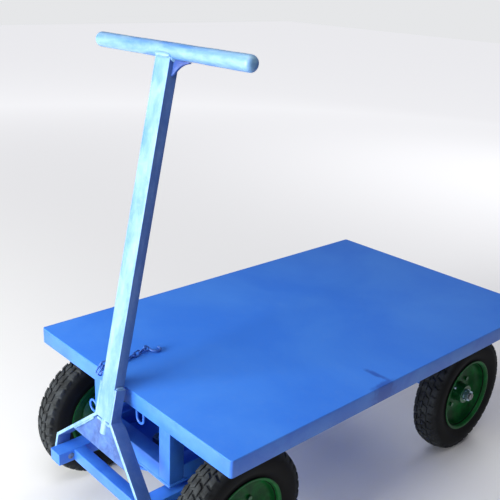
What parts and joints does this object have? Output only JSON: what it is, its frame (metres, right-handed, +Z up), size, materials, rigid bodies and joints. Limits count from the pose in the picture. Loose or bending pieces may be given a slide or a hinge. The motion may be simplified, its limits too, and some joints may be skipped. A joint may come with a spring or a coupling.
{
  "type": "flatbed platform truck",
  "caption": "Flat-deck four-wheel platform truck with turntable-steered front axle and hinged T-handle drawbar.",
  "frame": {"origin": "on the floor, under the middle of the truck's overall length and width", "axes": "+Y towards the truck's rear, away from the drawbar; +X to one side; +Z up"},
  "size_m": [0.75, 1.302, 1.1633],
  "materials": {
    "blue_enamel": "gloss",
    "bare_steel": "satin",
    "axle_nut_steel": "satin",
    "chain_steel": "satin",
    "tyre_rubber": "matte",
    "rim_green_enamel": "gloss",
    "hub_green_enamel": "gloss"
  },
  "bodies": {
    "root": {"deck_sheet": "blue_enamel", "front_rail": "blue_enamel", "rear_rail": "blue_enamel", "left_rail": "blue_enamel", "right_rail": "blue_enamel", "pedestal_cross_members": "blue_enamel", "middle_cross_member": "blue_enamel", "rear_cross_member": "blue_enamel", "pedestal_front_posts": "blue_enamel", "pedestal_rear_posts": "blue_enamel", "pedestal_front_rail": "blue_enamel", "pedestal_rear_rail": "blue_enamel", "pedestal_side_rails": "blue_enamel", "upper_turntable_plate": "blue_enamel", "slip_ring": "bare_steel", "kingpin": "bare_steel", "kingpin_nut": "bare_steel", "rear_axle_posts": "blue_enamel", "rear_axle_braces": "blue_enamel", "rear_axle_beam": "blue_enamel", "rear_stub_axles": "bare_steel", "rear_axle_nuts": "axle_nut_steel", "chain_staple": "chain_steel", "keeper_chain": "chain_steel", "chain_hook": "chain_steel", "drawbar_hook_eye": "blue_enamel", "lashing_ring": "blue_enamel"},
    "steering_axle": {"lower_turntable_plate": "blue_enamel", "turntable_ribs": "blue_enamel", "front_axle_beam": "blue_enamel", "front_stub_axles": "bare_steel", "front_axle_nuts": "axle_nut_steel", "steering_arm_left": "blue_enamel", "steering_arm_right": "blue_enamel", "steering_cross_bar": "blue_enamel", "hinge_pins": "bare_steel", "hinge_washers": "bare_steel", "hinge_cotters": "bare_steel"},
    "drawbar": {"drawbar_shaft": "blue_enamel", "drawbar_leg_left": "blue_enamel", "drawbar_leg_right": "blue_enamel", "drawbar_gusset": "blue_enamel", "drawbar_stub": "blue_enamel", "handle_bar": "blue_enamel", "handle_caps": "blue_enamel", "handle_gusset": "blue_enamel"},
    "wheel_front_left": {"tyre_front_left": "tyre_rubber", "rim_front_left": "rim_green_enamel", "hub_front_left": "hub_green_enamel"},
    "wheel_front_right": {"tyre_front_right": "tyre_rubber", "rim_front_right": "rim_green_enamel", "hub_front_right": "hub_green_enamel"},
    "wheel_rear_left": {"tyre_rear_left": "tyre_rubber", "rim_rear_left": "rim_green_enamel", "hub_rear_left": "hub_green_enamel"},
    "wheel_rear_right": {"tyre_rear_right": "tyre_rubber", "rim_rear_right": "rim_green_enamel", "hub_rear_right": "hub_green_enamel"}
  },
  "joints": [
    {"name": "steer", "type": "hinge", "parent": "root", "child": "steering_axle", "pos_m": [0, -0.442, 0.2007], "axis": [0, 0, 1], "range_deg": [-15, 15]},
    {"name": "drawbar_tilt", "type": "hinge", "parent": "steering_axle", "child": "drawbar", "pos_m": [0, -0.619, 0.1857], "axis": [1, 0, 0], "range_deg": [0, 110]},
    {"name": "wheel_front_left_spin", "type": "hinge", "parent": "steering_axle", "child": "wheel_front_left", "pos_m": [-0.279, -0.442, 0.175], "axis": [1, 0, 0], "continuous": true},
    {"name": "wheel_front_right_spin", "type": "hinge", "parent": "steering_axle", "child": "wheel_front_right", "pos_m": [0.279, -0.442, 0.175], "axis": [1, 0, 0], "continuous": true},
    {"name": "wheel_rear_left_spin", "type": "hinge", "parent": "root", "child": "wheel_rear_left", "pos_m": [-0.279, 0.421, 0.175], "axis": [1, 0, 0], "continuous": true},
    {"name": "wheel_rear_right_spin", "type": "hinge", "parent": "root", "child": "wheel_rear_right", "pos_m": [0.279, 0.421, 0.175], "axis": [1, 0, 0], "continuous": true}
  ]
}
